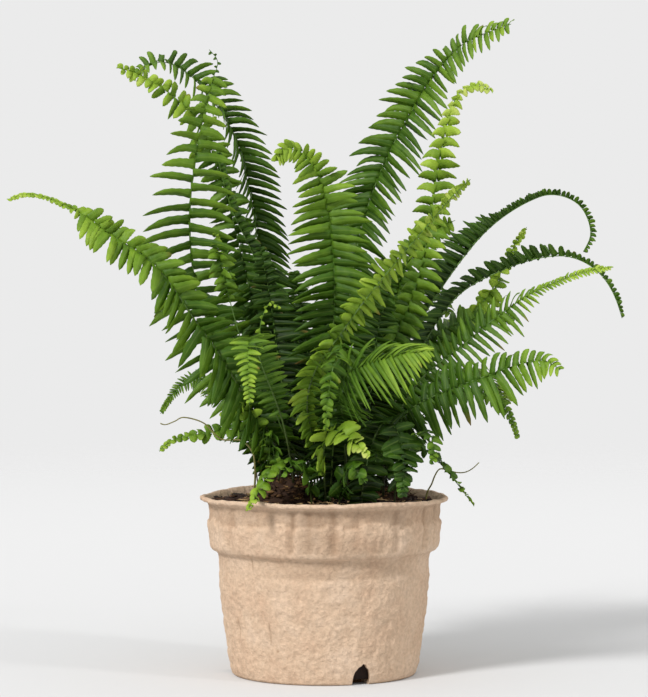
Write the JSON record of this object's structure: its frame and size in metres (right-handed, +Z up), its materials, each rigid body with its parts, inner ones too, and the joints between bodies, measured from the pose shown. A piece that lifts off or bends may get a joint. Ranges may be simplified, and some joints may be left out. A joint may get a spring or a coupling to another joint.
{
  "type": "potted nephrolepis fern",
  "caption": "Bushy sword fern with arching, comb-like fronds rooted in potting mix in a round tapered pot of moulded plant fibre with a collar, thin lip and drain notches at the foot.",
  "frame": {"origin": "centre of the pot's foot, on the surface the pot stands on", "axes": "+Z up through the pot, -Y towards the plant's front, +X to its right seen from the front"},
  "size_m": [0.401, 0.295, 0.433],
  "materials": {
    "moulded_fibre": "matte",
    "potting_mix": "matte",
    "rhizome": "matte",
    "leaf_dark": "satin",
    "leaf_green": "satin",
    "leaf_lime": "satin",
    "runner": "satin"
  },
  "bodies": {
    "root": {"pot": "moulded_fibre", "potting_mix": "potting_mix", "crown_left": "rhizome", "crown_middle": "rhizome", "crown_right": "rhizome", "frond_tall_right": "leaf_dark", "frond_dark_left_arch": "leaf_dark", "frond_pale_left_upright": "leaf_green", "frond_small_left_tip": "leaf_green", "frond_left_arching": "leaf_green", "frond_dark_left_second": "leaf_dark", "frond_front_left_drooping": "leaf_green", "frond_left_fine": "leaf_green", "frond_left_low": "leaf_green", "frond_left_low_small": "leaf_lime", "frond_front_left_trailing": "leaf_lime", "frond_centre_tall": "leaf_dark", "frond_crozier_left": "leaf_lime", "frond_front_centre_young": "leaf_lime", "frond_front_centre_arching": "leaf_lime", "frond_front_low_left": "leaf_green", "frond_front_low_right": "leaf_green", "frond_right_narrow": "leaf_lime", "frond_right_mid_broad": "leaf_dark", "frond_lime_crossing": "leaf_lime", "frond_front_right_low": "leaf_lime", "frond_right_loop": "leaf_dark", "frond_right_second": "leaf_dark", "frond_right_light": "leaf_green", "frond_right_back_tip": "leaf_green", "frond_right_low_broad": "leaf_dark", "frond_right_back_low": "leaf_dark", "frond_right_small_hanging": "leaf_green", "frond_right_trailing": "leaf_green", "frond_front_right_dark": "leaf_dark", "frond_left_inner_small": "leaf_dark", "frond_right_young": "leaf_lime", "frond_back_left_arching": "leaf_dark", "frond_back_left_tall": "leaf_dark", "frond_back_middle": "leaf_dark", "frond_back_right_tall": "leaf_dark", "frond_back_right_low": "leaf_green", "frond_back_left_low": "leaf_green", "frond_back_low_middle": "leaf_green", "frond_back_low_right": "leaf_lime", "frond_left_curled_young": "leaf_lime", "frond_inner_left": "leaf_dark", "frond_inner_centre": "leaf_dark", "frond_inner_right": "leaf_dark", "frond_base_left": "leaf_green", "frond_base_front_left": "leaf_lime", "frond_base_front": "leaf_dark", "frond_base_front_right": "leaf_dark", "frond_base_right": "leaf_green", "frond_base_back_left": "leaf_green", "frond_base_back_right": "leaf_green", "frond_base_back": "leaf_dark", "runner_left": "runner", "runner_stalk": "runner", "runner_right": "runner"}
  },
  "joints": []
}
